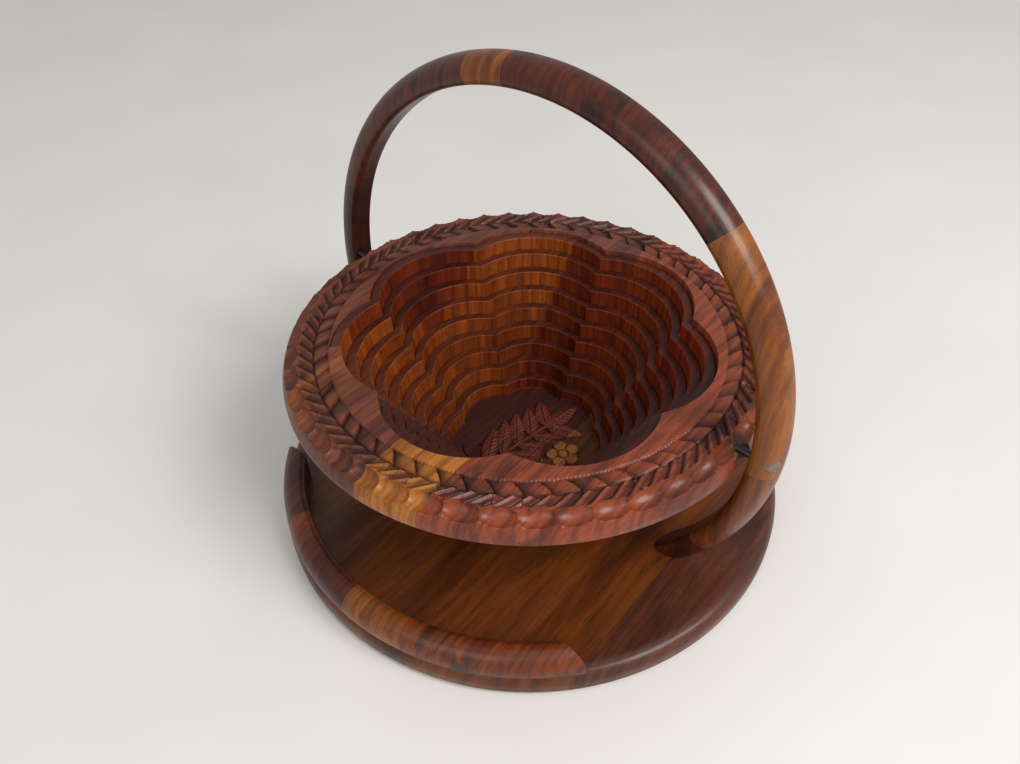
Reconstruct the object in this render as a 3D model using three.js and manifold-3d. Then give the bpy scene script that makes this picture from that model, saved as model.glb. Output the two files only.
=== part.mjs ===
// Collapsible basket of glued hardwood: a round base with a crescent rim, a carved rim disc whose middle
// is sawn into a lobed spiral that hangs down as the bowl wall, and a hoop handle pinned to the rim disc.
// Millimetres, +Z up, origin at the middle of the base's underside. The handle's pins lie along X.
import * as THREE from 'three';
import { mergeVertices } from 'three/addons/utils/BufferGeometryUtils.js';
import Module from 'manifold-3d';

// Driving dimensions
const GAP = 0.3;
const BASE_RADIUS = 150;
const BASE_THICK = 15;
const BASE_SEAM_X = 110;

const RING_INNER = 135.5;
const RING_OUTER = 149.5;
const RING_THICK = 14.7;
const RING_CUT = 94;
const RING_CUT_KERF = 1.5;
const PIN_FROM_BACK = 10;
const HANDLE_LEAN = THREE.MathUtils.degToRad(3.8);

const PANEL_THICK = 15;
const PANEL_ABOVE_PIN = 5;
const PANEL_TILT = THREE.MathUtils.degToRad(1.5);
const RIM_EDGE_RADIUS = 132.4;
const RIM_TOP_RADIUS = 127.2;
const SCALLOPS = 48;
const SCALLOP_LEAN = THREE.MathUtils.degToRad(34.4);
const SCALLOP_ACROSS = 4.9;
const SCALLOP_ALONG = 9.2;
const SCALLOP_DEPTH = 3.8;
const RELIEF_RADIUS = 10;
const RELIEF_LENGTH = 60;
const PANEL_SEAMS = [-65, -38, 5.5, 39.5];

const LOBES = 7;
const LOBE_ARC = 0.48;
const CUT_START_RADIUS = 105.8;
const CUT_START_ANGLE = THREE.MathUtils.degToRad(226.9);
const CUT_PITCH = 6.5;
const CUT_KERF = 1.0;
const CUT_BEVEL = Math.tan(THREE.MathUtils.degToRad(2.5));
const TURNS = 9;
const STEPS_PER_TURN = 42;
const TURN_END_SWEEP = 0.3;

const PIN_RADIUS = 2;
const PIN_START = 118;
const PIN_LENGTH = 22;
const PLUG_RADIUS = 4;
const PLUG_LENGTH = 8;
const FLOOR_SEAM_X = 17;
const DOWEL_RADIUS = 2.5;
const DOWEL_LENGTH = 30;

const RING_SIDES = 96;
const BASE_SIDES = 80;
const PIN_SIDES = 16;
const PLUG_SIDES = 20;

// Beyond the object on every side, for the blocks that cut it
const FAR = 200;

// Heights that follow from them
const FLOOR_Z = BASE_THICK + GAP;
const FOLDED_PIN_Z = FLOOR_Z + PIN_FROM_BACK;
const LINK = RING_CUT - PIN_FROM_BACK;
const PIN_Z = FOLDED_PIN_Z + LINK * Math.cos(HANDLE_LEAN);
const PANEL_TOP_Z = PIN_Z + PANEL_ABOVE_PIN;
const DROP = PIN_Z - FOLDED_PIN_Z;
const DROP_PER_TURN = DROP / TURNS;

const wasm = await Module();
wasm.setup();

function toSolid(geometry) {
  const bare = geometry.clone();
  bare.deleteAttribute('normal');
  bare.deleteAttribute('uv');
  const merged = mergeVertices(bare, 1e-4);
  const all = Array.from(merged.index.array);
  const kept = [];
  for (let i = 0; i < all.length; i += 3) {
    const [a, b, c] = all.slice(i, i + 3);
    if (a !== b && b !== c && a !== c) kept.push(a, b, c);
  }
  return new wasm.Manifold(new wasm.Mesh({
    numProp: 3,
    vertProperties: new Float32Array(merged.attributes.position.array),
    triVerts: new Uint32Array(kept),
  }));
}

function toGeometry(solid) {
  const result = solid.getMesh();
  const geometry = new THREE.BufferGeometry();
  geometry.setAttribute('position', new THREE.BufferAttribute(new Float32Array(result.vertProperties), 3));
  geometry.setIndex(new THREE.BufferAttribute(new Uint32Array(result.triVerts), 1));
  geometry.computeVertexNormals();
  return geometry;
}

function block(x0, x1, y0, y1, z0, z1) {
  const geometry = new THREE.BoxGeometry(x1 - x0, y1 - y0, z1 - z0);
  geometry.translate((x0 + x1) / 2, (y0 + y1) / 2, (z0 + z1) / 2);
  return toSolid(geometry);
}

// A solid of revolution about Z from [radius, height] points, listed from the bottom outwards and up
function turned(points, segments) {
  const geometry = new THREE.LatheGeometry(points.map(([r, z]) => new THREE.Vector2(r, z)), segments);
  geometry.rotateX(Math.PI / 2);
  return toSolid(geometry);
}

function rodAlongX(radius, x0, x1, y, z, sides) {
  const geometry = new THREE.CylinderGeometry(radius, radius, x1 - x0, sides);
  geometry.rotateZ(Math.PI / 2);
  geometry.translate((x0 + x1) / 2, y, z);
  return toSolid(geometry);
}

function slab(points, z0, z1) {
  const shape = new THREE.Shape(points.map(([x, y]) => new THREE.Vector2(x, y)));
  const geometry = new THREE.ExtrudeGeometry(shape, { depth: z1 - z0, bevelEnabled: false });
  geometry.translate(0, 0, z0);
  return geometry;
}

// A prism whose outline changes from bottom to top; both outlines have the same number of points
function loft(bottom, top, z0, z1) {
  const outline = top.map(([x, y]) => new THREE.Vector2(x, y));
  if (THREE.ShapeUtils.isClockWise(outline)) return loft([...bottom].reverse(), [...top].reverse(), z0, z1);
  const count = top.length;
  const positions = [];
  for (const [x, y] of bottom) positions.push(x, y, z0);
  for (const [x, y] of top) positions.push(x, y, z1);
  const index = [];
  for (const corners of THREE.ShapeUtils.triangulateShape(outline, [])) {
    const [a, b, c] = corners;
    index.push(a, c, b, count + a, count + b, count + c);
  }
  for (let i = 0; i < count; i += 1) {
    const next = (i + 1) % count;
    index.push(i, next, count + next, i, count + next, count + i);
  }
  const geometry = new THREE.BufferGeometry();
  geometry.setAttribute('position', new THREE.BufferAttribute(new Float32Array(positions), 3));
  geometry.setIndex(index);
  geometry.computeVertexNormals();
  return geometry;
}

// Pie-shaped cutter between two angles in degrees
function wedge(from, to) {
  const parts = Math.ceil((to - from) / 40);
  const points = [[0, 0]];
  for (let i = 0; i <= parts; i += 1) {
    const a = THREE.MathUtils.degToRad(from + ((to - from) * i) / parts);
    points.push([2 * FAR * Math.cos(a), 2 * FAR * Math.sin(a)]);
  }
  return toSolid(slab(points, -FAR, FAR));
}

const basket = new THREE.Group();

function add(name, geometry, colour, roughness, parent = basket, metalness = 0) {
  const mesh = new THREE.Mesh(geometry, new THREE.MeshStandardMaterial({ color: colour, roughness, metalness }));
  mesh.name = name;
  parent.add(mesh);
  return mesh;
}

// Base: two boards, edge-glued, turned to a disc with a rounded rim
const baseDisc = turned([
  [0, 0],
  [BASE_RADIUS - 4.5, 0],
  [BASE_RADIUS - 1.4, 1.4],
  [BASE_RADIUS, 4.2],
  [BASE_RADIUS, 8.2],
  [BASE_RADIUS - 1.1, 11.4],
  [BASE_RADIUS - 3.6, 14],
  [BASE_RADIUS - 7, BASE_THICK],
  [0, BASE_THICK],
], BASE_SIDES);
const seamLeft = block(-FAR, BASE_SEAM_X - GAP / 2, -FAR, FAR, -FAR, FAR);
const seamRight = block(BASE_SEAM_X + GAP / 2, FAR, -FAR, FAR, -FAR, FAR);
add('base_board_main', toGeometry(baseDisc.intersect(seamLeft)), 0x6e3c17, 0.35);
add('base_board_edge', toGeometry(baseDisc.intersect(seamRight)), 0x43200f, 0.35);

// One turned ring of glued blocks makes both the crescent and the hoop: flat back, flat inner wall, round face
const ringSection = [
  [RING_INNER, 0],
  [RING_OUTER - 1.5, 0],
  [RING_OUTER - 0.3, 1],
  [RING_OUTER, 3.5],
  [RING_OUTER - 0.4, 7],
  [RING_OUTER - 1.8, 10.3],
  [RING_OUTER - 4.3, 13],
  [RING_OUTER - 7.4, RING_THICK - 0.3],
  [RING_OUTER - 10.3, RING_THICK],
  [RING_INNER + 1.6, RING_THICK - 0.7],
  [RING_INNER + 0.4, RING_THICK - 2],
  [RING_INNER, RING_THICK - 3.7],
  [RING_INNER, 0],
];
const ring = turned(ringSection, RING_SIDES);
const aboveCut = block(-FAR, FAR, -RING_CUT, FAR, -FAR, FAR);
const belowCut = block(-FAR, FAR, -FAR, -RING_CUT - RING_CUT_KERF, -FAR, FAR);

const SEAM_HALF_ANGLE = THREE.MathUtils.radToDeg(GAP / 2 / RING_INNER);
const crescent = ring.intersect(belowCut).translate([0, 0, FLOOR_Z]);
const crescentSeams = [215, 243, 251, 268.5, 283.5, 325];
const crescentColours = [0x4a2a20, 0x8a4a1c, 0x4b1f17, 0x94561d, 0x5c2413];
for (let i = 0; i < crescentColours.length; i += 1) {
  const cutter = wedge(crescentSeams[i] + SEAM_HALF_ANGLE, crescentSeams[i + 1] - SEAM_HALF_ANGLE);
  add(`crescent_stave_${i + 1}`, toGeometry(crescent.intersect(cutter)), crescentColours[i], 0.3);
}

// Hoop, modelled lying flat about the pin axis and then stood up. The heel of each foot is rounded about
// the point that slides along the base, so that it clears the base all the way down.
const heelCut = block(-FAR, FAR, -RING_CUT - 5, -LINK, -PIN_FROM_BACK - 5, 0)
  .subtract(rodAlongX(PIN_FROM_BACK, -FAR - 10, FAR + 10, -LINK, 0, 48));
let hoop = ring.intersect(aboveCut).translate([0, 0, -PIN_FROM_BACK]).subtract(heelCut);
for (const side of [-1, 1]) {
  const bore = [side * (RING_INNER - 5), side * (RING_OUTER + 5)].sort((a, b) => a - b);
  const seat = [side * (RING_OUTER - PLUG_LENGTH - 2 * GAP), side * (RING_OUTER + 5)].sort((a, b) => a - b);
  hoop = hoop.subtract(rodAlongX(PIN_RADIUS + GAP, bore[0], bore[1], 0, 0, PIN_SIDES));
  hoop = hoop.subtract(rodAlongX(PLUG_RADIUS + GAP, seat[0], seat[1], 0, 0, PLUG_SIDES));
}
const handle = new THREE.Group();
handle.position.set(0, 0, PIN_Z);
handle.rotation.x = Math.PI / 2 - HANDLE_LEAN;
basket.add(handle);
const hoopStaves = [
  ['hoop_foot_right', -50, -31, 0x521f13],
  ['hoop_lower_right', -31, -3.3, 0x7f4316],
  ['hoop_side_right', -3.3, 46, 0x9a5216],
  ['hoop_crown_right', 46, 97, 0x5d2a17],
  ['hoop_block', 97, 107, 0x93541b],
  ['hoop_crown_left', 107, 160, 0x54271a],
  ['hoop_side_left', 160, 230, 0x432219],
];
for (const [name, from, to, colour] of hoopStaves) {
  const cutter = wedge(from + SEAM_HALF_ANGLE, to - SEAM_HALF_ANGLE);
  add(name, toGeometry(hoop.intersect(cutter)), colour, 0.3, handle);
}
for (const [name, side] of [['left', -1], ['right', 1]]) {
  const pin = new THREE.CylinderGeometry(PIN_RADIUS, PIN_RADIUS, PIN_LENGTH, PIN_SIDES);
  pin.rotateZ(Math.PI / 2);
  add(`pin_${name}`, pin, 0x9a9a96, 0.35, handle, 1).position.x = side * (PIN_START + PIN_LENGTH / 2);
  const ends = [side * (RING_OUTER - GAP - PLUG_LENGTH), side * (RING_OUTER + 5)].sort((a, b) => a - b);
  const flush = ring.translate([0, 0, -PIN_FROM_BACK]);
  const plug = rodAlongX(PLUG_RADIUS, ends[0], ends[1], 0, 0, PLUG_SIDES).intersect(flush);
  add(`plug_${name}`, toGeometry(plug), 0x6d6259, 0.4, handle);
}

// Radius of the spiral saw cut after a sweep in degrees, measured clockwise from its start
function cutAngle(sweep) {
  return CUT_START_ANGLE - THREE.MathUtils.degToRad(sweep);
}

function cutRadius(sweep) {
  const lobe = (2 * Math.PI) / LOBES;
  const fromStart = THREE.MathUtils.degToRad(sweep);
  const a = fromStart - lobe * Math.round(fromStart / lobe);
  const centre = 1 - LOBE_ARC;
  const scale = centre * Math.cos(a) + Math.sqrt(LOBE_ARC ** 2 - (centre * Math.sin(a)) ** 2);
  return (CUT_START_RADIUS - (CUT_PITCH * sweep) / 360) * scale;
}

function cutLine(from, to, offset) {
  const steps = Math.round(((to - from) / 360) * STEPS_PER_TURN);
  const points = [];
  for (let i = 0; i <= steps; i += 1) {
    const sweep = from + ((to - from) * i) / steps;
    const radius = cutRadius(sweep) + offset;
    points.push([radius * Math.cos(cutAngle(sweep)), radius * Math.sin(cutAngle(sweep))]);
  }
  return points;
}

// Rim disc: flared edge with shallow scallops gouged across its top corner, the lobed hole, pin bores and a
// relief at each pin, built about the pin axis and resting a little tilted on its pins
const panel = new THREE.Group();
panel.position.set(0, 0, PIN_Z);
panel.rotation.x = -PANEL_TILT;
basket.add(panel);
let rim = turned([
  [0, -PANEL_THICK],
  [RIM_EDGE_RADIUS - 0.9, -PANEL_THICK],
  [RIM_EDGE_RADIUS, -PANEL_THICK + 0.9],
  [RIM_EDGE_RADIUS - 0.2, -PANEL_THICK + 4.5],
  [RIM_EDGE_RADIUS - 2, -PANEL_THICK + 10],
  [RIM_TOP_RADIUS, 0],
  [0, 0],
], RING_SIDES).translate([0, 0, PANEL_ABOVE_PIN]);
const holeTopZ = PANEL_ABOVE_PIN + 1;
const holeBottomZ = PANEL_ABOVE_PIN - PANEL_THICK - 1;
const holeTop = cutLine(0, 360, CUT_KERF / 2 + CUT_BEVEL);
const holeBottom = cutLine(0, 360, CUT_KERF / 2 - (PANEL_THICK + 1) * CUT_BEVEL);
rim = rim.subtract(toSolid(loft(holeBottom, holeTop, holeBottomZ, holeTopZ)));
for (let i = 0; i < SCALLOPS; i += 1) {
  const scoop = new THREE.SphereGeometry(1, 10, 6);
  scoop.scale(SCALLOP_ACROSS, SCALLOP_ALONG, SCALLOP_DEPTH);
  scoop.rotateY(SCALLOP_LEAN);
  scoop.translate(RIM_TOP_RADIUS + 0.2, 0, PANEL_ABOVE_PIN - 1.5);
  scoop.rotateZ(((i + 0.5) * 2 * Math.PI) / SCALLOPS);
  rim = rim.subtract(toSolid(scoop));
}
for (const side of [-1, 1]) {
  const bore = [side * (PIN_START - GAP), side * (RIM_EDGE_RADIUS + 10)].sort((a, b) => a - b);
  rim = rim.subtract(rodAlongX(PIN_RADIUS + GAP, bore[0], bore[1], 0, 0, PIN_SIDES));
  const relief = new THREE.CylinderGeometry(RELIEF_RADIUS, RELIEF_RADIUS, RELIEF_LENGTH, 24);
  relief.rotateX(Math.PI / 2);
  relief.translate(side * (RIM_EDGE_RADIUS + 6), 0, 0);
  rim = rim.subtract(toSolid(relief));
}
const edges = [-FAR, ...PANEL_SEAMS, FAR];
const rimBlocks = [
  ['rim_left', 0, -FAR, FAR, 0x5a2a1c],
  ['rim_front_1', 1, -FAR, 0, 0x87481c],
  ['rim_back_1', 1, 0, FAR, 0x5e2c1b],
  ['rim_front_2', 2, -FAR, 0, 0x54261a],
  ['rim_back_2', 2, 0, FAR, 0x4d2519],
  ['rim_front_3', 3, -FAR, 0, 0x9b5a20],
  ['rim_back_3', 3, 0, FAR, 0x7a4a26],
  ['rim_right', 4, -FAR, FAR, 0x70301a],
];
for (const [name, strip, y0, y1, colour] of rimBlocks) {
  const cutter = block(edges[strip] + GAP / 2, edges[strip + 1] - GAP / 2, y0, y1, -FAR, FAR);
  add(name, toGeometry(rim.intersect(cutter)), colour, 0.4, panel);
}

// Spiral wall: each turn lies between one round of the cut and the next, and hangs lower than the last.
// The cut leans, wider at the top, so a dropped turn comes close to wedging in the one around it.
const turnColours = [0x6b3220, 0x66301f, 0x71381f, 0x6a3820, 0x6f3d1f, 0x6a3a1e, 0x70411f, 0x67391d, 0x6b3f1e];
for (let k = 0; k < TURNS; k += 1) {
  const from = 360 * k + TURN_END_SWEEP;
  const to = 360 * (k + 1) - TURN_END_SWEEP;
  const outlineAt = (shift) => [
    ...cutLine(from, to, -CUT_KERF / 2 + shift),
    ...cutLine(from + 360, to + 360, CUT_KERF / 2 + shift).reverse(),
  ];
  const body = loft(outlineAt(-PANEL_THICK * CUT_BEVEL), outlineAt(0), -PANEL_THICK, 0);
  const turn = add(`turn_${k + 1}`, body, turnColours[k], 0.45);
  turn.position.z = PANEL_TOP_Z - DROP_PER_TURN * k;
}

// Bowl floor: the middle of the same panel, resting on the base, with a dowel across its glue seam
const floorTop = cutLine(360 * TURNS, 360 * (TURNS + 1), -CUT_KERF / 2);
const floorBottom = cutLine(360 * TURNS, 360 * (TURNS + 1), -CUT_KERF / 2 - PANEL_THICK * CUT_BEVEL);
const floorDisc = toSolid(loft(floorBottom, floorTop, FLOOR_Z, FLOOR_Z + PANEL_THICK))
  .subtract(rodAlongX(
    DOWEL_RADIUS + GAP,
    FLOOR_SEAM_X - DOWEL_LENGTH / 2 - GAP,
    FLOOR_SEAM_X + DOWEL_LENGTH / 2 + GAP,
    0,
    FOLDED_PIN_Z,
    PIN_SIDES,
  ));
const floorLeft = block(-FAR, FLOOR_SEAM_X - GAP / 2, -FAR, FAR, -FAR, FAR);
const floorRight = block(FLOOR_SEAM_X + GAP / 2, FAR, -FAR, FAR, -FAR, FAR);
add('bowl_floor_left', toGeometry(floorDisc.intersect(floorLeft)), 0x4a2114, 0.5);
add('bowl_floor_right', toGeometry(floorDisc.intersect(floorRight)), 0x865021, 0.5);
const dowel = new THREE.CylinderGeometry(DOWEL_RADIUS, DOWEL_RADIUS, DOWEL_LENGTH, PIN_SIDES);
dowel.rotateZ(Math.PI / 2);
add('seam_dowel', dowel, 0xb58a56, 0.6).position.set(FLOOR_SEAM_X, 0, FOLDED_PIN_Z);

export default basket;
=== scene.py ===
import math

import bmesh
import bpy
import numpy as np
from mathutils import Matrix, Vector


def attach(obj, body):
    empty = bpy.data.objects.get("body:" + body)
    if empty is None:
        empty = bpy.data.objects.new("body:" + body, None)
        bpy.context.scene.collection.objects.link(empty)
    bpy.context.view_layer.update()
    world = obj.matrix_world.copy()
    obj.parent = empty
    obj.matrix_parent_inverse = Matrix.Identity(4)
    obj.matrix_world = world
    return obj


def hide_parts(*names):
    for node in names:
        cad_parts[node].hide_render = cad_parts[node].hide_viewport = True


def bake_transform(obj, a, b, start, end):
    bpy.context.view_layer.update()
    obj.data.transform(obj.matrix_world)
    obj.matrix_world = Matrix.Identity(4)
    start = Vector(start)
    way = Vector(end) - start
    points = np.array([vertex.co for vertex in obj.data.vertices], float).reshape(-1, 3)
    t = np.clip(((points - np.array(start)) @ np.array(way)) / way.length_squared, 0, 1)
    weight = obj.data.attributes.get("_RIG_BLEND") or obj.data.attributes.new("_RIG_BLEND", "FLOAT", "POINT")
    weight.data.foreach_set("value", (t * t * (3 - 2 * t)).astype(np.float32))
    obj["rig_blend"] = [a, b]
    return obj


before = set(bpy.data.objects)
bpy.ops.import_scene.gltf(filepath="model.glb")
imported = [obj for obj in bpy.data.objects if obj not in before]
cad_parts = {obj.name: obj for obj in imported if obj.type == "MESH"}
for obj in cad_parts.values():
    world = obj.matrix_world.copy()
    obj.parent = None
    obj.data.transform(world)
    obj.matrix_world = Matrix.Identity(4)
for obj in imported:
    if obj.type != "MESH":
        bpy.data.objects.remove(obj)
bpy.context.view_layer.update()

MM = 0.001
RNG = np.random.default_rng(7)

# Driving dimensions in millimetres. They are the CAD model's, but for the closer saw cut and seams.
BASE_RADIUS = 150.0
BASE_THICK = 15.0
BASE_SEAM_X = 110.0
FLOOR_Z = 15.3
PIN_FROM_BACK = 10.0
FOLDED_PIN_Z = FLOOR_Z + PIN_FROM_BACK
LINK = 84.0
LEAN = math.radians(3.8)
TILT = math.radians(1.5)
PIN_Z = FOLDED_PIN_Z + LINK * math.cos(LEAN)
PANEL_ABOVE_PIN = 5.0
PANEL_TOP_Z = PIN_Z + PANEL_ABOVE_PIN
PANEL_THICK = 15.0
TURNS = 9
DROP = PIN_Z - FOLDED_PIN_Z
DROP_PER_TURN = DROP / TURNS
KERF_HALF = 0.36
BEVEL = math.tan(math.radians(2.5))
CUT_START = 226.9
CUT_RADIUS = 105.8
CUT_PITCH = 6.5
LOBES = 7
LOBE_CENTRE = 0.52
LOBE_ARC = 0.48
RING_THICK = 14.7
RING_OUTER = 149.5
CRESCENT_END_Y = -95.5
HOOP_END_Y = -LINK - PIN_FROM_BACK
SEAM = 0.05
PANEL_SEAMS = [-65.0, -38.0, 5.5, 39.5]
FLOOR_SEAM_X = 17.0

# Degrees from which an edge is shaded sharp, and the width in metres over which the board tints are spread
SHARP_ANGLE = 34.0
TINT_SPAN = 0.24


def smoothstep(a, b, x):
    """A smooth step from nought at a to one at b, which may be the smaller of the two."""
    t = np.clip((x - a) / (b - a), 0.0, 1.0)
    return t * t * (3.0 - 2.0 * t)


def linear(rgb):
    """The scene-linear colour of an sRGB colour given in bytes."""
    return tuple(((c / 255.0) / 12.92 if c <= 10 else ((c / 255.0 + 0.055) / 1.055) ** 2.4) for c in rgb)


# ---------------------------------------------------------------- materials


def ramp(nodes, stops, interpolation="LINEAR"):
    node = nodes.new("ShaderNodeValToRGB")
    node.color_ramp.interpolation = interpolation
    elements = node.color_ramp.elements
    while len(elements) < len(stops):
        elements.new(0.5)
    for element, (position, colour) in zip(elements, stops):
        element.position = position
        element.color = (*colour, 1.0)
    return node


def grey(value):
    return (value, value, value)


def noise(tree, vector, scale, detail=4.0, rough=0.55, distortion=0.0):
    node = tree.nodes.new("ShaderNodeTexNoise")
    node.inputs["Scale"].default_value = scale
    node.inputs["Detail"].default_value = detail
    node.inputs["Roughness"].default_value = rough
    node.inputs["Distortion"].default_value = distortion
    tree.links.new(vector, node.inputs["Vector"])
    return node.outputs["Fac"]


def mapped(tree, scale, turn=0.0, offset=(0.0, 0.0, 0.0)):
    """The object's own coordinates, scaled, shifted and turned about its Z axis."""
    coord = tree.nodes.new("ShaderNodeTexCoord")
    mapping = tree.nodes.new("ShaderNodeMapping")
    mapping.inputs["Scale"].default_value = scale
    mapping.inputs["Rotation"].default_value = (0.0, 0.0, turn)
    mapping.inputs["Location"].default_value = offset
    tree.links.new(coord.outputs["Object"], mapping.inputs["Vector"])
    return mapping.outputs["Vector"]


def mix(tree, mode, factor, a, b):
    node = tree.nodes.new("ShaderNodeMix")
    node.data_type = "RGBA"
    node.blend_type = mode
    for socket, value in ((node.inputs[0], factor), (node.inputs[6], a), (node.inputs[7], b)):
        if isinstance(value, bpy.types.NodeSocket):
            tree.links.new(value, socket)
        elif isinstance(value, tuple):
            socket.default_value = (*value, 1.0)
        else:
            socket.default_value = value
    return node.outputs[2]


def math_node(tree, operation, a, b, clamp=False):
    node = tree.nodes.new("ShaderNodeMath")
    node.operation = operation
    node.use_clamp = clamp
    for socket, value in zip(node.inputs, (a, b)):
        if isinstance(value, bpy.types.NodeSocket):
            tree.links.new(value, socket)
        else:
            socket.default_value = value
    return node.outputs[0]


def wood(name, tones, seed=0.0, turn=0.0, streak=0.6, dark=(26, 12, 9), figure=1.0, gloss=0.38, coat=0.2,
         boards=None, sawn=False, depth=1.0, knots=(), rings_at=0.8, pore=0.45):
    """Lacquered hardwood whose grain runs along the object's own Y axis, turned by `turn` radians.

    The five tones colour its figure, and streak, rings_at and pore are the strengths of the dark streaks,
    growth rings and pores. Knots are x, y, z and size in millimetres. Boards are tints along X, each from
    its share of TINT_SPAN on, and depth scales the figure along Z.
    """
    material = bpy.data.materials.new(name)
    material.use_nodes = True
    tree = material.node_tree
    tree.nodes.clear()
    out = tree.nodes.new("ShaderNodeOutputMaterial")
    shader = tree.nodes.new("ShaderNodeBsdfPrincipled")
    tree.links.new(shader.outputs[0], out.inputs[0])
    offset = (seed * 0.37, seed * 0.71, seed * 0.13)
    wide = mapped(tree, (1.0, 0.16, 0.35 * depth), turn, offset)
    fine = mapped(tree, (1.0, 0.05, 0.6 * depth), turn, offset)
    figure_map = noise(tree, wide, 55.0 * figure, detail=5.0, rough=0.55, distortion=0.9)
    steps = [0.3, 0.42, 0.5, 0.58, 0.7]
    colour_ramp = ramp(tree.nodes, [(p, linear(t)) for p, t in zip(steps, tones)])
    tree.links.new(figure_map, colour_ramp.inputs[0])
    colour = colour_ramp.outputs[0]
    if boards:
        split = tree.nodes.new("ShaderNodeSeparateXYZ")
        coord = tree.nodes.new("ShaderNodeTexCoord")
        tree.links.new(coord.outputs["Object"], split.inputs[0])
        across = math_node(tree, "MULTIPLY_ADD", split.outputs[0], 1.0 / TINT_SPAN)
        across.node.inputs[2].default_value = 0.5
        tint = ramp(tree.nodes, [(p, linear(t)) for p, t in boards], "CONSTANT")
        tree.links.new(across, tint.inputs[0])
        colour = mix(tree, "OVERLAY", 0.85, colour, tint.outputs[0])
    rings = tree.nodes.new("ShaderNodeTexWave")
    rings.wave_type = "BANDS"
    rings.bands_direction = "X"
    rings.inputs["Scale"].default_value = 62.0 * figure
    rings.inputs["Distortion"].default_value = 9.0
    rings.inputs["Detail"].default_value = 3.0
    rings.inputs["Detail Scale"].default_value = 1.2
    tree.links.new(wide, rings.inputs["Vector"])
    ring_shade = ramp(tree.nodes, [(0.0, grey(0.62)), (0.35, grey(0.95)), (1.0, grey(1.0))])
    tree.links.new(rings.outputs["Fac"], ring_shade.inputs[0])
    colour = mix(tree, "MULTIPLY", rings_at, colour, ring_shade.outputs[0])
    band = noise(tree, wide, 26.0 * figure, detail=3.0, rough=0.5, distortion=1.6)
    band_ramp = ramp(tree.nodes, [(0.56, grey(0.0)), (0.62, grey(1.0)), (0.66, grey(0.25)), (0.7, grey(1.0))])
    tree.links.new(band, band_ramp.inputs[0])
    band_factor = math_node(tree, "MULTIPLY", band_ramp.outputs[0], streak)
    colour = mix(tree, "MIX", band_factor, colour, linear(dark))
    for x, y, z, size in knots:
        spot = tree.nodes.new("ShaderNodeTexCoord")
        distance = tree.nodes.new("ShaderNodeVectorMath")
        distance.operation = "DISTANCE"
        distance.inputs[1].default_value = (x * MM, y * MM, z * MM)
        tree.links.new(spot.outputs["Object"], distance.inputs[0])
        warp = noise(tree, wide, 90.0, detail=3.0, rough=0.6)
        wobble = math_node(tree, "MULTIPLY_ADD", warp, size * MM * 1.6)
        wobble.node.inputs[2].default_value = -size * MM * 0.8
        reach = math_node(tree, "ADD", distance.outputs["Value"], wobble)
        share = math_node(tree, "DIVIDE", reach, size * MM)
        knot_stops = [(0.25, grey(0.95)), (0.5, grey(0.55)), (0.62, grey(0.8)), (1.0, grey(0.0))]
        knot_ramp = ramp(tree.nodes, knot_stops)
        tree.links.new(share, knot_ramp.inputs[0])
        colour = mix(tree, "MIX", knot_ramp.outputs[0], colour, linear(dark))
    fibre = noise(tree, fine, 900.0, detail=3.0, rough=0.6)
    fibre_ramp = ramp(tree.nodes, [(0.3, grey(0.66)), (0.5, grey(1.0)), (0.72, grey(1.22))])
    tree.links.new(fibre, fibre_ramp.inputs[0])
    colour = mix(tree, "MULTIPLY", 0.75 if sawn else 0.6, colour, fibre_ramp.outputs[0])
    pores_at = mapped(tree, (1.0, 0.09, 1.0), turn, offset)
    pores = noise(tree, pores_at, 1300.0, detail=1.0, rough=0.5)
    pore_ramp = ramp(tree.nodes, [(0.62, grey(0.0)), (0.7, grey(1.0))])
    tree.links.new(pores, pore_ramp.inputs[0])
    pore_factor = math_node(tree, "MULTIPLY", pore_ramp.outputs[0], pore)
    colour = mix(tree, "MIX", pore_factor, colour, linear(dark))
    if sawn:
        saw = noise(tree, mapped(tree, (1.0, 1.0, 0.03)), 620.0, detail=3.0, rough=0.6)
        saw_ramp = ramp(tree.nodes, [(0.3, grey(0.5)), (0.48, grey(1.0)), (0.7, grey(1.25))])
        tree.links.new(saw, saw_ramp.inputs[0])
        colour = mix(tree, "MULTIPLY", 0.7, colour, saw_ramp.outputs[0])
    # Painted shade: the colour darkens in the carving's hollows by their `cut` share, which also makes them
    # rougher.
    cut = tree.nodes.new("ShaderNodeAttribute")
    cut.attribute_name = "cut"
    carved_shade_factor = math_node(tree, "MULTIPLY", cut.outputs["Fac"], 0.85, True)
    colour = mix(tree, "MULTIPLY", carved_shade_factor, colour, (0.15, 0.08, 0.06))
    tree.links.new(colour, shader.inputs["Base Color"])
    wear = noise(tree, mapped(tree, (1.0, 0.6, 1.0), turn, offset), 38.0, rough=0.6)
    rough = ramp(tree.nodes, [(0.3, grey(gloss - 0.08)), (0.7, grey(gloss + 0.14))])
    tree.links.new(wear, rough.inputs[0])
    rough_cut = math_node(tree, "MULTIPLY_ADD", cut.outputs["Fac"], 0.4)
    tree.links.new(rough.outputs[0], rough_cut.node.inputs[2])
    tree.links.new(rough_cut, shader.inputs["Roughness"])
    height = math_node(tree, "MULTIPLY_ADD", pore_ramp.outputs[0], -0.6)
    tree.links.new(fibre, height.node.inputs[2])
    bump = tree.nodes.new("ShaderNodeBump")
    bump.inputs["Strength"].default_value = 0.55 if sawn else 0.25
    bump.inputs["Distance"].default_value = 0.0004 if sawn else 0.00025
    tree.links.new(height, bump.inputs["Height"])
    tree.links.new(bump.outputs[0], shader.inputs["Normal"])
    shader.inputs["Specular IOR Level"].default_value = 0.2 if sawn else 0.32
    shader.inputs["Coat Weight"].default_value = 0.0 if sawn else coat
    shader.inputs["Coat Roughness"].default_value = 0.2
    return material


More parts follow.
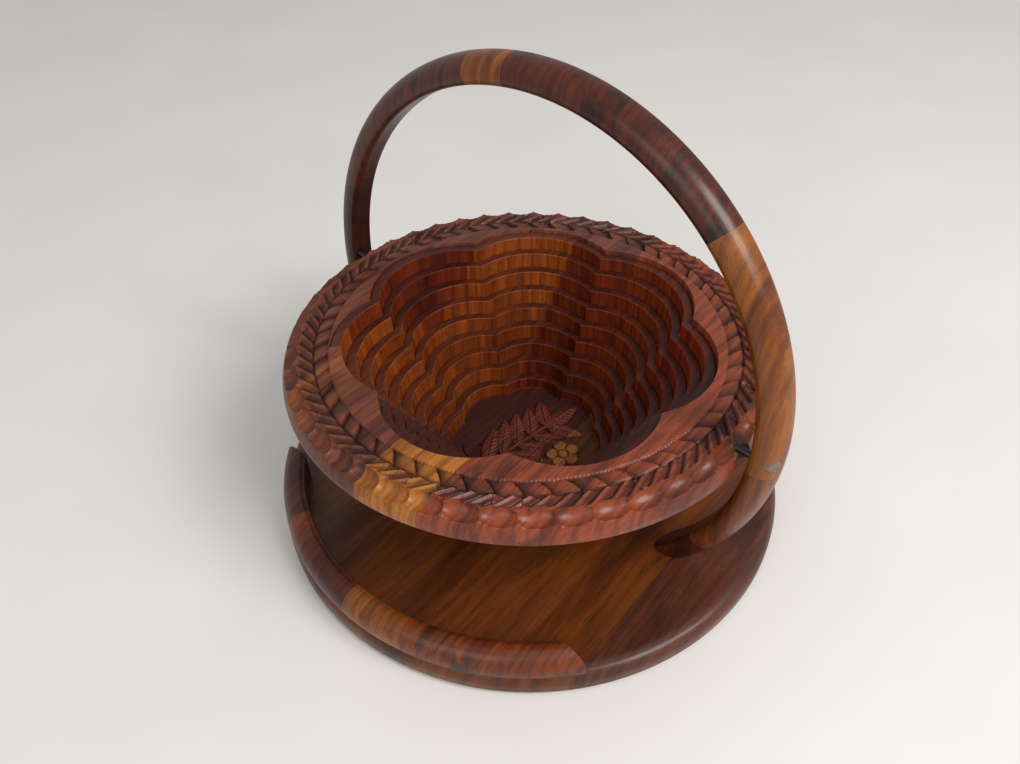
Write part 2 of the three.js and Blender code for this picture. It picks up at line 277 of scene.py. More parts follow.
def plain_material(name, stretch, grain, tones, gloss):
    """A material with one noise pattern, which sets its colour and its roughness between two values."""
    material = bpy.data.materials.new(name)
    material.use_nodes = True
    tree = material.node_tree
    shader = tree.nodes["Principled BSDF"]
    scale, detail, rough = grain
    pattern = noise(tree, mapped(tree, stretch), scale, detail, rough)
    colour = ramp(tree.nodes, tones)
    tree.links.new(pattern, colour.inputs[0])
    tree.links.new(colour.outputs[0], shader.inputs["Base Color"])
    roughness = ramp(tree.nodes, [(0.3, grey(gloss[0])), (0.7, grey(gloss[1]))])
    tree.links.new(pattern, roughness.inputs[0])
    tree.links.new(roughness.outputs[0], shader.inputs["Roughness"])
    return material


# Five sRGB tones for each wood, spread over its figure
PURPLE = [(52, 22, 16), (72, 31, 22), (88, 41, 29), (78, 36, 25), (60, 26, 18)]
REDWOOD = [(46, 14, 7), (65, 22, 9), (84, 31, 12), (74, 26, 11), (52, 16, 8)]
ORANGE = [(74, 26, 7), (97, 39, 9), (119, 53, 14), (107, 44, 11), (81, 30, 8)]
GOLD = [(86, 41, 7), (111, 56, 10), (136, 75, 16), (121, 64, 12), (94, 46, 8)]
DARK = [(32, 14, 10), (46, 21, 15), (58, 28, 20), (50, 23, 16), (36, 16, 11)]
BROWN = [(66, 29, 5), (86, 40, 8), (104, 51, 11), (93, 45, 9), (72, 33, 6)]
PLUM = [(68, 30, 20), (92, 43, 28), (114, 57, 38), (102, 50, 33), (78, 36, 24)]
RUST = [(84, 33, 18), (112, 47, 25), (137, 62, 34), (124, 54, 29), (92, 38, 20)]
AMBER = [(84, 38, 15), (110, 54, 22), (134, 72, 33), (120, 62, 27), (92, 44, 18)]
HONEY = [(112, 58, 14), (142, 80, 22), (168, 103, 36), (154, 90, 29), (122, 66, 17)]
# The tread tones are darker than the rim's panel wood they are sawn from: painted shade cast by the strip
# above.
SHADED_TREAD = [(50, 15, 8), (71, 24, 12), (90, 33, 16), (80, 28, 14), (57, 18, 10)]
FLOOR = [(70, 24, 12), (96, 35, 18), (120, 47, 25), (106, 41, 21), (80, 28, 14)]
UMBER = [(76, 32, 7), (98, 44, 10), (120, 58, 16), (108, 50, 12), (83, 36, 8)]
COCOA = [(52, 22, 12), (71, 32, 18), (88, 41, 24), (78, 36, 21), (58, 26, 15)]
RISER = [(86, 29, 9), (115, 45, 15), (138, 59, 22), (124, 50, 18), (95, 34, 12)]


# ---------------------------------------------------------------- mesh helpers


def catmull(points, per_span):
    """A smooth open curve through the points."""
    p = np.array(points, float)
    ends = np.vstack([2 * p[0] - p[1], p, 2 * p[-1] - p[-2]])
    out = []
    for i in range(len(p) - 1):
        a, b, c, d = ends[i:i + 4]
        for t in np.linspace(0, 1, per_span, endpoint=False):
            out.append(0.5 * (2 * b + (c - a) * t + (2 * a - 5 * b + 4 * c - d) * t * t
                              + (3 * b - a - 3 * c + d) * t ** 3))
    out.append(p[-1])
    return np.array(out)


def build_mesh(name, verts, faces, cut=None, sharp=SHARP_ANGLE):
    """A mesh from points in millimetres. `cut` is how far each point is carved, which sets painted shade and
    roughness in the carving's hollows.
    """
    mesh = bpy.data.meshes.new(name)
    mesh.from_pydata(np.asarray(verts) * MM, [], faces)
    if cut is not None:
        attribute = mesh.attributes.new("cut", "FLOAT", "POINT")
        attribute.data.foreach_set("value", np.asarray(cut, np.float32).ravel())
    finish_mesh(mesh, sharp)
    return mesh


def finish_mesh(mesh, sharp=SHARP_ANGLE):
    mesh.update()
    bm = bmesh.new()
    bm.from_mesh(mesh)
    bmesh.ops.recalc_face_normals(bm, faces=bm.faces)
    bm.to_mesh(mesh)
    bm.free()
    mesh.shade_smooth()
    mesh.set_sharp_from_angle(angle=math.radians(sharp))


def place(name, mesh, materials, body, nodes, matrix=None):
    """Adds one piece. A piece without a body is blended between two by its caller."""
    piece = bpy.data.objects.new(name, mesh)
    bpy.context.scene.collection.objects.link(piece)
    for material in materials:
        mesh.materials.append(material)
    if matrix is not None:
        piece.matrix_world = matrix
    if body:
        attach(piece, body)
    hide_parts(*nodes)
    return piece


def wrap_faces(columns, rows, close_columns=True):
    """Quads over a grid of columns whose rows close on themselves."""
    faces = []
    last = columns if close_columns else columns - 1
    for j in range(last):
        a = j * rows
        b = ((j + 1) % columns) * rows
        for i in range(rows):
            k = (i + 1) % rows
            faces.append((a + i, b + i, b + k, a + k))
    return faces


def disc_faces(columns, rows):
    """Quads over a closed ring of columns, with one face over the first row and one over the last."""
    faces = []
    for j in range(columns):
        a = j * rows
        b = ((j + 1) % columns) * rows
        for i in range(rows - 1):
            faces.append((a + i, b + i, b + i + 1, a + i + 1))
    faces.append(tuple(j * rows for j in range(columns)))
    faces.append(tuple((columns - 1 - j) * rows + rows - 1 for j in range(columns)))
    return faces


def slice_mesh(mesh, name, x0, x1, keep=None):
    """A copy of the mesh between two planes of constant x (mm), with its cut faces closed.

    With `keep` at 1 or -1 only the points behind or in front of y = 0 are kept.
    """
    bm = bmesh.new()
    bm.from_mesh(mesh)
    for x, side in ((x0, 1), (x1, -1)):
        if x is None:
            continue
        everything = bm.verts[:] + bm.edges[:] + bm.faces[:]
        bmesh.ops.bisect_plane(
            bm, geom=everything, dist=1e-9, plane_co=(x * MM, 0, 0), plane_no=(-side, 0, 0), clear_outer=True
        )
        rim = [e for e in bm.edges if e.is_boundary]
        bmesh.ops.holes_fill(bm, edges=rim, sides=0)
    if keep is not None:
        away = [v for v in bm.verts if v.co.y * keep < 0]
        bmesh.ops.delete(bm, geom=away, context="VERTS")
    out = bpy.data.meshes.new(name)
    bm.to_mesh(out)
    bm.free()
    finish_mesh(out)
    return out


# ---------------------------------------------------------------- the spiral saw cut


def cut_radius(sweep):
    """Radius of the saw cut's middle after a sweep in degrees. But for the pitch each lobe is a round arc."""
    lobe = 360.0 / LOBES
    a = np.radians(sweep - lobe * np.round(sweep / lobe))
    scale = LOBE_CENTRE * np.cos(a) + np.sqrt(LOBE_ARC ** 2 - (LOBE_CENTRE * np.sin(a)) ** 2)
    return (CUT_RADIUS - CUT_PITCH * sweep / 360.0) * scale


def cut_angle(sweep):
    """Direction in which the saw cut lies after a sweep in degrees."""
    return np.radians(CUT_START - sweep)


# ---------------------------------------------------------------- base boards

BASE_EDGE = [(143, 15), (146.4, 14), (148.9, 11.4), (150, 8.2), (150, 4.2), (148.6, 1.4), (145.5, 0)]
WEAR_FROM, WEAR_FULL, WEAR_DEPTH = 143.5, 139.0, 0.12


def make_base():
    columns = 288
    edge = catmull(BASE_EDGE, 4)
    edge[:, 0] = np.minimum(edge[:, 0], BASE_RADIUS)
    top = [(r, BASE_THICK) for r in np.linspace(1.0, 141.5, 22)]
    bottom = [(r, 0.0) for r in np.linspace(140, 1.0, 6)]
    profile = np.array(top + [tuple(p) for p in edge] + bottom)
    profile[:, 1] = np.maximum(profile[:, 1], 0.0)
    angle = np.linspace(0, 2 * np.pi, columns, endpoint=False)
    rows = len(profile)
    verts = np.zeros((columns, rows, 3))
    verts[..., 0] = profile[None, :, 0] * np.cos(angle)[:, None]
    verts[..., 1] = profile[None, :, 0] * np.sin(angle)[:, None]
    verts[..., 2] = profile[None, :, 1]
    worn = smoothstep(WEAR_FROM, WEAR_FULL, profile[:, 0]) * (profile[:, 1] > BASE_THICK - 0.1)
    verts[..., 2] -= worn[None, :] * WEAR_DEPTH * (1 + np.sin(3 * angle + 1.0))[:, None]
    whole = build_mesh("base_whole", verts.reshape(-1, 3), disc_faces(columns, rows))
    main = wood("base_main_wood", BROWN, seed=3.0, turn=0.12, streak=0.18, dark=(40, 17, 8), figure=0.7,
                gloss=0.42, coat=0.25, rings_at=0.45)
    edge_wood = wood("base_edge_wood", COCOA, seed=5.0, streak=0.35, gloss=0.46, coat=0.25, rings_at=0.6)
    for name, x0, x1, look in (("board_main", None, BASE_SEAM_X - SEAM, main),
                               ("board_edge", BASE_SEAM_X + SEAM, None, edge_wood)):
        place(name, slice_mesh(whole, name, x0, x1), [look], "base", ["base_" + name])
    bpy.data.meshes.remove(whole)


# ---------------------------------------------------------------- ring: crescent and hoop

# The ring's outside as radius and height, and its inside as radii at heights
RING_OUTSIDE = [(147.6, 0.0), (148.6, 0.35), (149.25, 1.2), (149.5, 3.5), (149.1, 7.0), (147.7, 10.3),
                (145.2, 13.0), (142.1, 14.4), (139.4, 14.7)]
RING_INSIDE_HEIGHTS = [0.0, 0.35, 1.0, 11.0, 12.7, 14.0, 14.6, 14.7]
RING_INSIDE_RADII = [136.0, 135.6, 135.5, 135.5, 135.9, 137.1, 138.6, 139.2]
RING_MIDDLE = 140.0
SEAM_ANGLE = math.degrees(SEAM / RING_MIDDLE)
STAVE_STEP = 0.9


def ring_stave(name, start, end, start_y=None, end_y=None, heel=False):
    """One stave of the turned ring, lying flat, between two angles in degrees.

    start_y and end_y are the y at which an end is sawn off instead. With a heel, such an end is round below
    the height of the pins, about the line at that height and at y = -LINK.
    """
    outside = catmull(RING_OUTSIDE, 4)
    outside[:, 0] = np.minimum(outside[:, 0], RING_OUTER)
    level = np.clip(outside[:, 1], 0, RING_THICK)
    inside = np.interp(level, RING_INSIDE_HEIGHTS, RING_INSIDE_RADII)
    radius = np.concatenate([inside, outside[::-1, 0]])
    height = np.concatenate([level, level[::-1]])
    rows = len(radius)

    def limit(angle, sawn_y):
        if sawn_y is None:
            return np.full(rows, math.radians(angle))
        y = np.full(rows, float(sawn_y))
        if heel:
            below = height < PIN_FROM_BACK
            drop = PIN_FROM_BACK - height[below]
            y[below] = -LINK - np.sqrt(np.maximum(PIN_FROM_BACK ** 2 - drop ** 2, 0))
        lean = np.arcsin(np.clip(y / radius, -1, 1))
        if math.cos(math.radians(angle)) < 0:
            return math.pi - lean
        return lean + (2 * math.pi if angle > 180 else 0)

    a, b = limit(start, start_y), limit(end, end_y)
    columns = max(6, int(abs(end - start) / STAVE_STEP))
    t = np.linspace(0, 1, columns)
    angle = a[None, :] + (b - a)[None, :] * t[:, None]
    x, y = radius * np.cos(angle), radius * np.sin(angle)
    verts = np.stack([x, y, np.broadcast_to(height, angle.shape)], -1)
    faces = wrap_faces(columns, rows, close_columns=False)
    half = rows // 2
    for j in (0, columns - 1):
        first, last = j * rows, j * rows + rows - 1
        for i in range(half - 1):
            faces.append((first + i, first + i + 1, last - 1 - i, last - i))
    return build_mesh(name, verts.reshape(-1, 3), faces, sharp=40.0)


def make_crescent():
    seams = [215, 243, 251, 268.5, 283.5, 325]
    looks = [
        wood("crescent_1_wood", PURPLE, seed=11.0, streak=0.45, figure=1.2),
        wood("crescent_2_wood", UMBER, seed=12.0, streak=0.4, figure=1.3),
        wood("crescent_3_wood", REDWOOD, seed=18.0, streak=0.6, figure=1.3),
        wood("crescent_4_wood", GOLD, seed=14.0, streak=0.25, pore=0.3),
        wood("crescent_5_wood", ORANGE, seed=15.0, streak=0.85, figure=1.2, knots=[(-8, -141, 12, 5)]),
    ]
    on_base = Matrix.Translation((0, 0, FLOOR_Z * MM))
    for i, look in enumerate(looks):
        name = f"crescent_{i + 1}"
        start_y = CRESCENT_END_Y if i == 0 else None
        end_y = CRESCENT_END_Y if i == len(looks) - 1 else None
        mesh = ring_stave(name, seams[i] + SEAM_ANGLE, seams[i + 1] - SEAM_ANGLE, start_y, end_y)
        place(name, mesh, [look], "base", [f"crescent_stave_{i + 1}"], on_base)


HOOP_MATRIX = Matrix.Translation((0, 0, PIN_Z * MM)) @ Matrix.Rotation(math.pi / 2 - LEAN, 4, "X")

# Radius, inner end and outer end of the pin's bore and the plug's seat
PIN_BORE = (2.2, 130, 142)
PLUG_SEAT = (3.62, 141.0, 156)
PLUG_RADIUS = 3.55
PLUG_INNER = 141.2


def bore(mesh, name, side):
    """Drills the plug seat and the pin bore into a stave lying flat about the pin axis."""
    piece = bpy.data.objects.new(name + "_drilled", mesh)
    bpy.context.scene.collection.objects.link(piece)
    tools = []
    for radius, inner, outer in (PIN_BORE, PLUG_SEAT):
        bm = bmesh.new()
        bmesh.ops.create_cone(bm, cap_ends=True, segments=40, radius1=radius * MM, radius2=radius * MM,
                              depth=(outer - inner) * MM)
        tool_mesh = bpy.data.meshes.new("tool")
        bm.to_mesh(tool_mesh)
        bm.free()
        tool = bpy.data.objects.new("tool", tool_mesh)
        bpy.context.scene.collection.objects.link(tool)
        tool.matrix_world = (Matrix.Translation((side * (inner + outer) / 2 * MM, 0, 0))
                             @ Matrix.Rotation(math.pi / 2, 4, "Y"))
        modifier = piece.modifiers.new("bore", "BOOLEAN")
        modifier.operation = "DIFFERENCE"
        modifier.solver = "EXACT"
        modifier.object = tool
        tools.append(tool)
    bpy.context.view_layer.update()
    graph = bpy.context.evaluated_depsgraph_get()
    drilled = bpy.data.meshes.new_from_object(piece.evaluated_get(graph))
    drilled.name = name
    drilled.materials.clear()
    bpy.data.objects.remove(piece)
    for tool in tools:
        bpy.data.objects.remove(tool)
    drilled.shade_smooth()
    drilled.set_sharp_from_angle(angle=math.radians(SHARP_ANGLE))
    return drilled


def make_hoop():
    crown_knots = [(99, 101, 5, 9), (34, 138, 7, 7)]
    staves = [
        ("hoop_foot_right", -50, -31, "hoop",
         wood("foot_wood", REDWOOD, seed=21.0, streak=0.6, dark=(30, 8, 5))),
        ("hoop_lower_right", -31, -3.3, "hoop", wood("lower_wood", UMBER, seed=22.0, streak=0.25)),
        ("hoop_side_right", -3.3, 46, "hoop_gold",
         wood("side_gold_wood", GOLD, seed=23.0, streak=0.22, figure=0.8, pore=0.3)),
        ("hoop_crown_right", 46, 97, "hoop",
         wood("crown_wood", REDWOOD, seed=24.0, streak=0.9, figure=1.1, knots=crown_knots)),
        ("hoop_block", 97, 107, "hoop_gold", wood("block_wood", GOLD, seed=25.0, streak=0.2, pore=0.3)),
        ("hoop_crown_left", 107, 160, "hoop", wood("crown_left_wood", PURPLE, seed=26.0, streak=0.55)),
        ("hoop_side_left", 160, 230, "hoop", wood("side_left_wood", DARK, seed=27.0, streak=0.5)),
    ]
    for name, start, end, slot, look in staves:
        start_y = HOOP_END_Y if name == "hoop_foot_right" else None
        end_y = HOOP_END_Y if name == "hoop_side_left" else None
        mesh = ring_stave(name, start + SEAM_ANGLE, end - SEAM_ANGLE, start_y, end_y, heel=True)
        mesh.transform(Matrix.Translation((0, 0, -PIN_FROM_BACK * MM)))
        if name in ("hoop_side_right", "hoop_side_left"):
            mesh = bore(mesh, name, 1 if name == "hoop_side_right" else -1)
        place(name + "_stave", mesh, [look], "handle", [name], HOOP_MATRIX)
    filler_tones = ((0.3, (74, 60, 50)), (0.55, (112, 98, 86)), (0.75, (134, 120, 106)))
    stops = [(position, linear(tone)) for position, tone in filler_tones]
    filler = plain_material("wood_filler", (1.0, 1.0, 1.0), (420.0, 5.0, 0.7), stops, (0.35, 0.6))
    for side, name in ((1, "plug_right"), (-1, "plug_left")):
        place(name + "_cap", plug_mesh(name, side), [filler], "handle", [name], HOOP_MATRIX)


def plug_mesh(name, side):
    """A short plug whose outer end follows the rounded hoop and is a little rounded at its edge."""
    points = 40
    shares = [0.0, 0.35, 0.7, 0.92, 1.0]
    outside = catmull(RING_OUTSIDE, 4)
    verts = []
    for share in shares:
        for k in range(points):
            a = 2 * math.pi * k / points
            y, z = PLUG_RADIUS * share * math.cos(a), PLUG_RADIUS * share * math.sin(a)
            surface = np.interp(z + PIN_FROM_BACK, outside[:, 1], outside[:, 0])
            x = math.sqrt(surface ** 2 - y * y) + 0.12 - 0.35 * max(0.0, share - 0.9) / 0.1
            verts.append((side * min(max(x, PLUG_INNER + 0.2), RING_OUTER + 0.2), y, z))
    for k in range(points):
        a = 2 * math.pi * k / points
        verts.append((side * PLUG_INNER, PLUG_RADIUS * math.cos(a), PLUG_RADIUS * math.sin(a)))
    faces = []
    for i in range(len(shares)):
        for k in range(points):
            n = (k + 1) % points
            faces.append((i * points + k, i * points + n, (i + 1) * points + n, (i + 1) * points + k))
    faces.append(tuple(len(shares) * points + k for k in range(points)))
    return build_mesh(name + "_cap", verts, faces)


# ---------------------------------------------------------------- rim disc

DISC_MATRIX = Matrix.Translation((0, 0, PIN_Z * MM)) @ Matrix.Rotation(-TILT, 4, "X")

# The carved border between two radii: a toothed line, incised scales inside and ridged strokes outside
BAND_INNER = 107.5
BAND_OUTER = 123.8
BAND_MIDDLE = 0.45
SCALES = 56
STROKES = 84
LINE_RADIUS = 106.95
LINE_TEETH = 336
CARVED_FROM = 106.0

# The disc's edge, as radius and height from the top, and the scallops hollowed into it
SCALLOPS = 48
SCALLOP_RADIUS = 127.4
SCALLOP_DROP = 1.5
SCALLOP_LEAN = math.radians(34.4)
SCALLOP_DOWN, SCALLOP_ACROSS, SCALLOP_DEPTH = 4.9, 9.1, 3.7
SCALLOP_LOWEST = -8
RIM_TOP_FROM, RIM_TOP_TO = 106.5, 127.2
RIM_BOTTOM = 131.5
RIM_OUTER = 132.4
RIM_SIDE = [(RIM_TOP_TO, 0), (130.4, -5), (132.2, -10.5), (132.4, -14.1), (RIM_BOTTOM, -15)]

# Upright round hollows in the disc's side at the two pins
PIN_HOLLOW_AT = 138.4
PIN_HOLLOW_RADIUS = 10.0


def band_depth(radius, angle):
    """Depth of the carved border in millimetres, with a little unevenness from scale to scale."""
    v = (radius - BAND_INNER) / (BAND_OUTER - BAND_INNER)

    # Scales: curved cells, each cut deepest along one edge
    lag = -0.42 * np.clip((BAND_MIDDLE - v) / BAND_MIDDLE, 0, 1.2) ** 1.4
    phase = angle * SCALES / (2 * np.pi) - lag
    cell = np.floor(phase).astype(int) % SCALES
    hand = RNG.uniform(-1, 1, (SCALES, 3))
    phase = phase + 0.1 * hand[cell, 0]
    q = phase - np.floor(phase)
    scale_part = 0.4 + 1.5 * (1 - q) ** 2 + 0.7 * np.exp(-(q / 0.09) ** 2)
    pillow = 0.35 * (2 * np.clip((v - BAND_MIDDLE * 0.5) / BAND_MIDDLE, -0.5, 0.5)) ** 2

    # Strokes: slanting ridges, each beside a cut
    slant = -1.25 * np.clip((v - BAND_MIDDLE) / (1 - BAND_MIDDLE), 0, 1.3) ** 0.92
    stroke = angle * STROKES / (2 * np.pi) - slant + 0.12 * hand[cell, 1]
    share = stroke - np.floor(stroke)
    ridge = 0.95 * np.exp(-((share - 0.6) / 0.17) ** 2)
    stroke_part = 1.35 - 1.25 * ridge + 0.8 * np.exp(-((share - 0.28) / 0.1) ** 2)

    # A groove between the two rows, and uneven ends toward the scallops
    outside = smoothstep(BAND_MIDDLE - 0.03, BAND_MIDDLE + 0.05, v)
    groove = 0.9 * np.exp(-((v - BAND_MIDDLE) / 0.035) ** 2)
    depth = (scale_part + pillow) * (1 - outside) + stroke_part * outside + groove
    depth *= 1 + 0.2 * hand[cell, 1]
    end = 0.93 + 0.06 * hand[cell, 2] - 0.16 * np.abs(share - 0.5)
    depth *= 1 - smoothstep(end - 0.05, end + 0.1, v)
    depth *= smoothstep(-0.035, 0.0, v)
    tooth = 0.5 + 0.5 * np.sign(np.sin(angle * LINE_TEETH))
    line = np.exp(-((radius - LINE_RADIUS) / 0.42) ** 2) * (0.45 + 0.6 * tooth)
    return np.maximum(depth, line)


def rim_wood(block, tones, streak, gloss=0.47, coat=0.15, **more):
    """The wood of one block of the rim disc, which is duller than the hoop's."""
    return wood(f"rim_{block}_wood", tones, streak=streak, gloss=gloss, coat=coat, **more)


def make_rim():
    columns = 1344
    sweep = np.linspace(0, 360, columns + 1)
    angle = cut_angle(sweep)
    inner = cut_radius(sweep) + KERF_HALF
    foot = inner - PANEL_THICK * BEVEL
    side = catmull(RIM_SIDE, 6)[1:]
    side[:, 0] = np.minimum(side[:, 0], RIM_OUTER)
    side[:, 1] = np.maximum(side[:, 1], -PANEL_THICK)

    # Each point of the profile has a radius for every column and one height from the top
    radii = []
    heights = []
    for z in (-15.0, -10.0, -5.0, -0.25):
        radii.append(inner + z * BEVEL)
        heights.append(z)
    first_top = len(radii)
    for share in np.linspace(0, 1, 9)[:-1]:
        start = inner + 0.12
        radii.append(start + (RIM_TOP_FROM - start) * share)
        heights.append(0.0)
    for r in np.linspace(RIM_TOP_FROM, RIM_TOP_TO, 43):
        radii.append(np.full(columns + 1, r))
        heights.append(0.0)
    after_top = len(radii)
    for r, z in side:
        radii.append(np.full(columns + 1, r))
        heights.append(z)
    for share in (0.33, 0.66):
        radii.append(RIM_BOTTOM + (foot - RIM_BOTTOM) * share)
        heights.append(-PANEL_THICK)
    radius = np.array(radii).T
    height = np.broadcast_to(np.array(heights), radius.shape).copy()
    theta = np.broadcast_to(angle[:, None], radius.shape).copy()
    rows = radius.shape[1]
    top = (np.arange(rows) >= first_top) & (np.arange(rows) < after_top)

    # Each scallop is half an ellipsoid, hollowed square to a leaning plane
    step = 2 * np.pi / SCALLOPS
    local = theta - (np.round(theta / step - 0.5) + 0.5) * step
    cos_lean, sin_lean = math.cos(SCALLOP_LEAN), math.sin(SCALLOP_LEAN)
    px, py = radius * np.cos(local), radius * np.sin(local)
    down = (px - SCALLOP_RADIUS) * cos_lean - (height + SCALLOP_DROP) * sin_lean
    proud = (px - SCALLOP_RADIUS) * sin_lean + (height + SCALLOP_DROP) * cos_lean
    share = 1 - (down / SCALLOP_DOWN) ** 2 - (py / SCALLOP_ACROSS) ** 2
    removed = proud + SCALLOP_DEPTH * np.sqrt(np.maximum(share, 0))
    inside = (share > 0) & (removed > 0) & (height > SCALLOP_LOWEST)
    removed = np.where(inside, removed, 0.0)
    px = px - removed * sin_lean
    theta = theta - local + np.arctan2(py, px)
    radius = np.hypot(px, py)
    height = height - removed * cos_lean

    carved = top[None, :] & ~inside & (radius > CARVED_FROM)
    depth = np.where(carved, band_depth(radius, theta), 0.0)
    height -= depth
    # Share of painted shade in the carved hollows, from how deep each point is cut.
    cut = np.clip((depth - 0.45) / 1.2, 0, 1)

    px, py = radius * np.cos(theta), radius * np.sin(theta)
    for pin_x in (-PIN_HOLLOW_AT, PIN_HOLLOW_AT):
        dx, dy = px - pin_x, py
        d = np.hypot(dx, dy)
        near = d < PIN_HOLLOW_RADIUS
        d = np.where(near, d, PIN_HOLLOW_RADIUS)
        px = np.where(near, pin_x + dx * PIN_HOLLOW_RADIUS / d, px)
        py = np.where(near, dy * PIN_HOLLOW_RADIUS / d, py)
    verts = np.stack([px, py, height + PANEL_ABOVE_PIN], -1).reshape(-1, 3)
    whole = build_mesh("rim_whole", verts, wrap_faces(columns + 1, rows), cut)

    # Name, strip of the panel, sign of y on the side kept, slot and wood
    back_knots = [(-42, 79, 6, 9)]
    blocks = [
        ("rim_left", 0, None, "rim", rim_wood("left", PLUM, 0.35, seed=31.0)),
        ("rim_front_1", 1, -1, "rim_gold", rim_wood("front_1", AMBER, 0.3, seed=32.0)),
        ("rim_back_1", 1, 1, "rim", rim_wood("back_1", PLUM, 0.4, seed=33.0)),
        ("rim_front_2", 2, -1, "rim", rim_wood("front_2", PLUM, 0.4, seed=34.0)),
        ("rim_back_2", 2, 1, "rim", rim_wood("back_2", PLUM, 0.35, seed=35.0, knots=back_knots)),
        ("rim_front_3", 3, -1, "rim_gold", rim_wood("front_3", HONEY, 0.2, seed=36.0, pore=0.3)),
        ("rim_back_3", 3, 1, "rim", rim_wood("back_3", RUST, 0.3, seed=37.0)),
        ("rim_right", 4, None, "rim", rim_wood("right", RUST, 0.55, gloss=0.44, coat=0.2, seed=38.0)),
    ]
    edges = [None, *PANEL_SEAMS, None]
    for name, strip, keep, slot, look in blocks:
        x0 = edges[strip] + SEAM if edges[strip] is not None else None
        x1 = edges[strip + 1] - SEAM if edges[strip + 1] is not None else None
        mesh = slice_mesh(whole, name + "_block", x0, x1, keep)
        place(name + "_block", mesh, [look], "rim_disc", [name], DISC_MATRIX)
    bpy.data.meshes.remove(whole)


# ---------------------------------------------------------------- spiral turns and bowl floor

# Tints of the panel's glued strips, each from its share of TINT_SPAN on
BOARDS = [(0.0, (150, 132, 128)), (0.175, (196, 216, 150)), (0.35, (150, 128, 120)),
          (0.5229, (176, 166, 126)), (0.6646, (170, 132, 110))]

# One side of a turn from its foot to its bevelled top edge, as inset and height from its top
TURN_SIDE = [(0.0, -15.0), (0.0, -10.0), (0.0, -5.0), (0.0, -0.45), (0.35, 0.0)]


def make_turns():
    # The treads' darker tones are painted shade from the strip above; the sawn faces keep the wood's own
    # lighter tone.
    tread = wood("spiral_tread_shaded_wood", SHADED_TREAD, seed=41.0, streak=0.4, gloss=0.5, coat=0.1, boards=BOARDS,
                 depth=0.05)
    riser = wood("spiral_sawn_wood", RISER, seed=42.0, streak=0.3, gloss=0.55, coat=0.0, boards=BOARDS,
                 sawn=True, depth=0.02)
    steps = 420
    for k in range(TURNS):
        sweep = np.linspace(360.0 * k, 360.0 * (k + 1), steps + 1)
        angle = cut_angle(sweep)
        outer = cut_radius(sweep) - KERF_HALF
        inner = cut_radius(sweep + 360.0) + KERF_HALF
        width = outer - inner
        radii = [outer - inset + z * BEVEL for inset, z in TURN_SIDE]
        heights = [z for _, z in TURN_SIDE]
        for share in (0.3, 0.5, 0.7):
            radii.append(outer - width * share)
            heights.append(0.02)
        for inset, z in reversed(TURN_SIDE):
            radii.append(inner + inset + z * BEVEL)
            heights.append(z)
        radii.append(inner + width * 0.5 - PANEL_THICK * BEVEL)
        heights.append(-PANEL_THICK)
        radius = np.array(radii).T

        # The top falls evenly, and over the first turn it leaves the tilt of the rim disc
        helix = PANEL_TOP_Z - DROP_PER_TURN * sweep / 360.0
        fade = np.clip(1 - sweep / 360.0, 0, 1)
        y = radius * np.sin(angle)[:, None]
        top = helix[:, None] - np.tan(TILT) * y * fade[:, None]
        verts = np.stack([radius * np.cos(angle)[:, None], y, top + np.array(heights)[None, :]], -1)
        rows = radius.shape[1]
        faces = wrap_faces(steps + 1, rows, close_columns=False)
        faces.append(tuple(range(rows)))
        faces.append(tuple(steps * rows + i for i in reversed(range(rows))))
        mesh = build_mesh(f"turn_{k + 1}_strip", verts.reshape(-1, 3), faces, sharp=30.0)
        piece = place(f"turn_{k + 1}_strip", mesh, [tread, riser], None, [f"turn_{k + 1}"])

        # The quads between the two top edges are tread, and all other faces are sawn
        first_top = len(TURN_SIDE) - 1
        indices = np.ones(len(mesh.polygons), np.int32)
        tops = np.array([first_top <= i % rows < first_top + 4 for i in range(steps * rows)])
        indices[:steps * rows][tops] = 0
        mesh.polygons.foreach_set("material_index", indices)

        # Each point takes the share of the turn's travel that brings its top down to the folded height
        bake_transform(piece, "base", f"spiral_turn_{k + 1}", (0, 0, 0), (0, 0, 0.1))
        travel = DROP - DROP_PER_TURN * k
        weight = np.clip((top - (FOLDED_PIN_Z + PANEL_ABOVE_PIN)) / travel, 0.0, 1.0)
        mesh.attributes["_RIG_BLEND"].data.foreach_set("value", weight.astype(np.float32).ravel())


# The floor's carving: pairs of leaves on a stem through STEM_AT, and a flower to the right of it
CARVED = 2.2
STEM_AT = (-0.3, 0.7)
STEM_HEADING = math.atan2(50.1, 8.7)
LEAF_PAIRS = 5
FLOWER = (24.0, 3.0)
FLOWER_RADIUS = 10.5
FLOWER_EYE = 3.2
FLOWER_CLEAR = 12.0


def leaf(x, y, x0, y0, turn, length, width):
    """Height of one carved leaf, nought outside it."""
    c, s = math.cos(turn), math.sin(turn)
    u = ((x - x0) * c + (y - y0) * s) / length
    v = -(x - x0) * s + (y - y0) * c
    half = width * np.sin(np.pi * np.clip(u, 0, 1) ** 0.8)
    inside = smoothstep(-0.3, 0.45, half - np.abs(v)) * (u > 0) * (u < 1)
    dome = 2.1 - 0.7 * (np.abs(v) / np.maximum(half, 0.3)) ** 2
    vein = 0.9 * np.exp(-(v / 0.45) ** 2)
    side = (u * length - 0.8 * np.abs(v)) / 3.1
    ribs = 0.5 * np.exp(-((side - np.round(side)) / 0.14) ** 2)
    return inside * np.clip(dome - vein - ribs, 0.2, CARVED)


